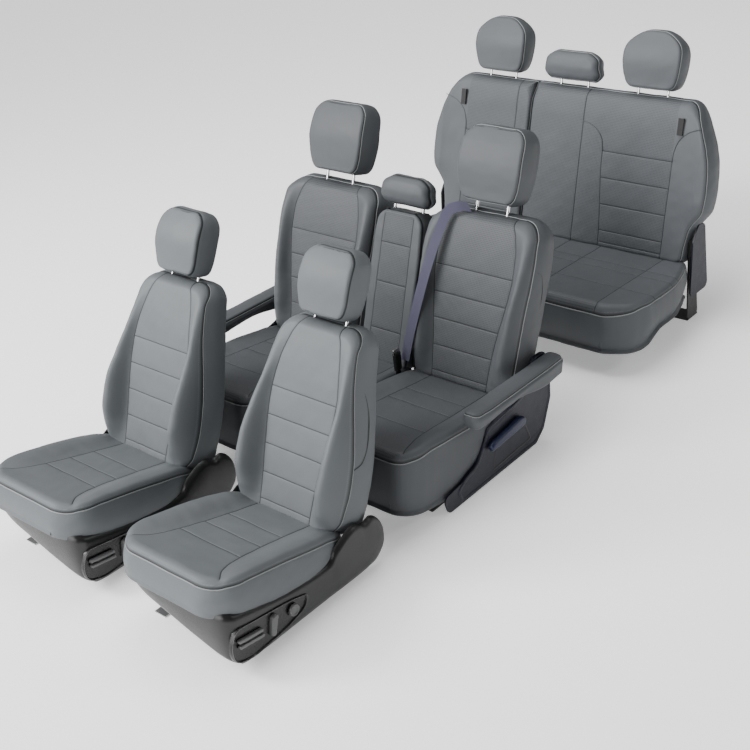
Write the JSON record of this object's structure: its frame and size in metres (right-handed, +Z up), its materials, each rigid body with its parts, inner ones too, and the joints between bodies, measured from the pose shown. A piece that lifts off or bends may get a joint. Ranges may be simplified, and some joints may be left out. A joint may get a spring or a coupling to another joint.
{
  "type": "seat cover set",
  "caption": "Fitted leatherette seat covers on a three-row car seat set: sliding front buckets, armrest seats and a split folding bench, all with lifting headrests.",
  "frame": {"origin": "on the floor under the second row's centre seat, where its cushion and back meet", "axes": "+Z up, seats face -Y, +X is the sitter's left"},
  "size_m": [1.398, 2.9004, 1.1385],
  "materials": {
    "grey_leatherette": "soft satin grain",
    "foam": "open-cell foam",
    "chrome": "polished",
    "frame_steel": "black paint",
    "rail_steel": "zinc plated",
    "black_plastic": "fine texture",
    "switch_plastic": "satin",
    "navy_plastic": "fine texture",
    "lever_plastic": "fine texture",
    "belt_webbing": "woven",
    "strap_webbing": "woven",
    "buckle": "satin"
  },
  "bodies": {
    "floor_frame": {"front_floor_rails": "rail_steel", "mid_belt_buckle": "buckle", "mid_centre_cushion_cover": "grey_leatherette", "mid_cushion_cores": "foam", "mid_left_cushion_cover": "grey_leatherette", "mid_right_cushion_cover": "grey_leatherette", "rear_cushion_core": "foam", "rear_cushion_cover": "grey_leatherette", "seat_frames": "frame_steel", "side_trims": "navy_plastic"},
    "front_left_seat": {"front_left_seat_frame": "frame_steel", "front_left_base_trim": "black_plastic", "front_left_cushion_core": "foam", "front_left_cushion_cover": "grey_leatherette"},
    "front_left_back": {"front_left_back_core": "foam", "front_left_back_cover": "grey_leatherette"},
    "front_left_headrest": {"front_left_headrest_cover": "grey_leatherette", "front_left_headrest_posts": "chrome"},
    "front_left_slide_switch": {"front_left_slide_switch": "switch_plastic"},
    "front_left_recline_switch": {"front_left_recline_switch": "switch_plastic"},
    "front_left_lumbar_switch": {"front_left_lumbar_switch": "switch_plastic"},
    "front_right_seat": {"front_right_seat_frame": "frame_steel", "front_right_base_trim": "black_plastic", "front_right_cushion_core": "foam", "front_right_cushion_cover": "grey_leatherette"},
    "front_right_back": {"front_right_back_core": "foam", "front_right_back_cover": "grey_leatherette"},
    "front_right_headrest": {"front_right_headrest_cover": "grey_leatherette", "front_right_headrest_posts": "chrome"},
    "front_right_slide_switch": {"front_right_slide_switch": "switch_plastic"},
    "front_right_recline_switch": {"front_right_recline_switch": "switch_plastic"},
    "front_right_lumbar_switch": {"front_right_lumbar_switch": "switch_plastic"},
    "mid_left_back": {"mid_left_back_core": "foam", "mid_left_back_cover": "grey_leatherette", "mid_left_belt_webbing": "belt_webbing"},
    "mid_left_headrest": {"mid_left_headrest_cover": "grey_leatherette", "mid_left_headrest_posts": "chrome"},
    "mid_left_armrest": {"mid_left_armrest_cover": "grey_leatherette"},
    "mid_right_back": {"mid_right_back_core": "foam", "mid_right_back_cover": "grey_leatherette"},
    "mid_right_headrest": {"mid_right_headrest_cover": "grey_leatherette", "mid_right_headrest_posts": "chrome"},
    "mid_right_armrest": {"mid_right_armrest_cover": "grey_leatherette"},
    "mid_centre_back": {"mid_centre_back_core": "foam", "mid_centre_back_cover": "grey_leatherette"},
    "mid_centre_headrest": {"mid_centre_headrest_cover": "grey_leatherette", "mid_centre_headrest_posts": "chrome"},
    "mid_left_lever": {"mid_left_recline_lever": "lever_plastic"},
    "rear_single_back": {"rear_single_back_core": "foam", "rear_single_back_cover": "grey_leatherette", "rear_single_pull_strap": "strap_webbing"},
    "rear_double_back": {"rear_double_back_core": "foam", "rear_double_back_cover": "grey_leatherette", "rear_double_pull_strap": "strap_webbing"},
    "rear_right_headrest": {"rear_right_headrest_cover": "grey_leatherette", "rear_right_headrest_posts": "chrome"},
    "rear_centre_headrest": {"rear_centre_headrest_cover": "grey_leatherette", "rear_centre_headrest_posts": "chrome"},
    "rear_left_headrest": {"rear_left_headrest_cover": "grey_leatherette", "rear_left_headrest_posts": "chrome"}
  },
  "joints": [
    {"name": "front_left_slide", "type": "slide", "parent": "floor_frame", "child": "front_left_seat", "axis": [0, -1, 0], "range_m": [-0.05, 0.18]},
    {"name": "front_left_recline", "type": "hinge", "parent": "front_left_seat", "child": "front_left_back", "pos_m": [0.352, -0.79002, 0.24878], "axis": [1, 0, 0], "range_deg": [-25, 15]},
    {"name": "front_left_headrest_lift", "type": "slide", "parent": "front_left_back", "child": "front_left_headrest", "axis": [0, 0.4226, 0.9063], "range_m": [0, 0.055]},
    {"name": "front_left_slide_switch_tilt", "type": "hinge", "parent": "front_left_seat", "child": "front_left_slide_switch", "pos_m": [0.612, -1.314, 0.11], "axis": [1, 0, 0], "range_deg": [-8, 8], "stiffness_Nm_per_rad": 2},
    {"name": "front_left_recline_switch_tilt", "type": "hinge", "parent": "front_left_seat", "child": "front_left_recline_switch", "pos_m": [0.612, -1.22, 0.092], "axis": [1, 0, 0], "range_deg": [-12, 12], "stiffness_Nm_per_rad": 2},
    {"name": "front_left_lumbar_switch_press", "type": "slide", "parent": "front_left_seat", "child": "front_left_lumbar_switch", "axis": [-1, 0, 0], "range_m": [0, 0.0015], "stiffness_N_per_m": 600},
    {"name": "front_right_slide", "type": "slide", "parent": "floor_frame", "child": "front_right_seat", "axis": [0, -1, 0], "range_m": [-0.05, 0.18]},
    {"name": "front_right_recline", "type": "hinge", "parent": "front_right_seat", "child": "front_right_back", "pos_m": [-0.352, -0.79002, 0.24878], "axis": [1, 0, 0], "range_deg": [-25, 15]},
    {"name": "front_right_headrest_lift", "type": "slide", "parent": "front_right_back", "child": "front_right_headrest", "axis": [0, 0.4226, 0.9063], "range_m": [0, 0.055]},
    {"name": "front_right_slide_switch_tilt", "type": "hinge", "parent": "front_right_seat", "child": "front_right_slide_switch", "pos_m": [-0.092, -1.314, 0.11], "axis": [1, 0, 0], "range_deg": [-8, 8], "stiffness_Nm_per_rad": 2},
    {"name": "front_right_recline_switch_tilt", "type": "hinge", "parent": "front_right_seat", "child": "front_right_recline_switch", "pos_m": [-0.092, -1.22, 0.092], "axis": [1, 0, 0], "range_deg": [-12, 12], "stiffness_Nm_per_rad": 2},
    {"name": "front_right_lumbar_switch_press", "type": "slide", "parent": "front_right_seat", "child": "front_right_lumbar_switch", "axis": [-1, 0, 0], "range_m": [0, 0.0015], "stiffness_N_per_m": 600},
    {"name": "mid_left_recline", "type": "hinge", "parent": "floor_frame", "child": "mid_left_back", "pos_m": [0.38, 0.09008, 0.29545], "axis": [1, 0, 0], "range_deg": [-15, 50]},
    {"name": "mid_left_headrest_lift", "type": "slide", "parent": "mid_left_back", "child": "mid_left_headrest", "axis": [0, 0.342, 0.9397], "range_m": [0, 0.055]},
    {"name": "mid_left_armrest_lift", "type": "hinge", "parent": "floor_frame", "child": "mid_left_armrest", "pos_m": [0.668, 0.168, 0.318], "axis": [-1, 0, 0], "range_deg": [0, 80]},
    {"name": "mid_right_recline", "type": "hinge", "parent": "floor_frame", "child": "mid_right_back", "pos_m": [-0.356, 0.09008, 0.29545], "axis": [1, 0, 0], "range_deg": [-15, 50]},
    {"name": "mid_right_headrest_lift", "type": "slide", "parent": "mid_right_back", "child": "mid_right_headrest", "axis": [0, 0.342, 0.9397], "range_m": [0, 0.055]},
    {"name": "mid_right_armrest_lift", "type": "hinge", "parent": "floor_frame", "child": "mid_right_armrest", "pos_m": [-0.644, 0.168, 0.318], "axis": [-1, 0, 0], "range_deg": [0, 80]},
    {"name": "mid_centre_recline", "type": "hinge", "parent": "floor_frame", "child": "mid_centre_back", "pos_m": [0.012, 0.07638, 0.28706], "axis": [1, 0, 0], "range_deg": [-15, 75]},
    {"name": "mid_centre_headrest_lift", "type": "slide", "parent": "mid_centre_back", "child": "mid_centre_headrest", "axis": [0, 0.342, 0.9397], "range_m": [0, 0.055]},
    {"name": "mid_left_recline_lever_pull", "type": "hinge", "parent": "floor_frame", "child": "mid_left_lever", "pos_m": [0.64, 0.014, 0.157], "axis": [-1, 0, 0], "range_deg": [0, 25], "stiffness_Nm_per_rad": 2},
    {"name": "rear_single_fold", "type": "hinge", "parent": "floor_frame", "child": "rear_single_back", "pos_m": [0, 1.26092, 0.34085], "axis": [1, 0, 0], "range_deg": [-8, 72]},
    {"name": "rear_double_fold", "type": "hinge", "parent": "floor_frame", "child": "rear_double_back", "pos_m": [0, 1.26092, 0.34085], "axis": [1, 0, 0], "range_deg": [-8, 72]},
    {"name": "rear_right_headrest_lift", "type": "slide", "parent": "rear_single_back", "child": "rear_right_headrest", "axis": [0, 0.2639, 0.9646], "range_m": [0, 0.055]},
    {"name": "rear_centre_headrest_lift", "type": "slide", "parent": "rear_double_back", "child": "rear_centre_headrest", "axis": [0, 0.2639, 0.9646], "range_m": [0, 0.055]},
    {"name": "rear_left_headrest_lift", "type": "slide", "parent": "rear_double_back", "child": "rear_left_headrest", "axis": [0, 0.2639, 0.9646], "range_m": [0, 0.055]}
  ]
}
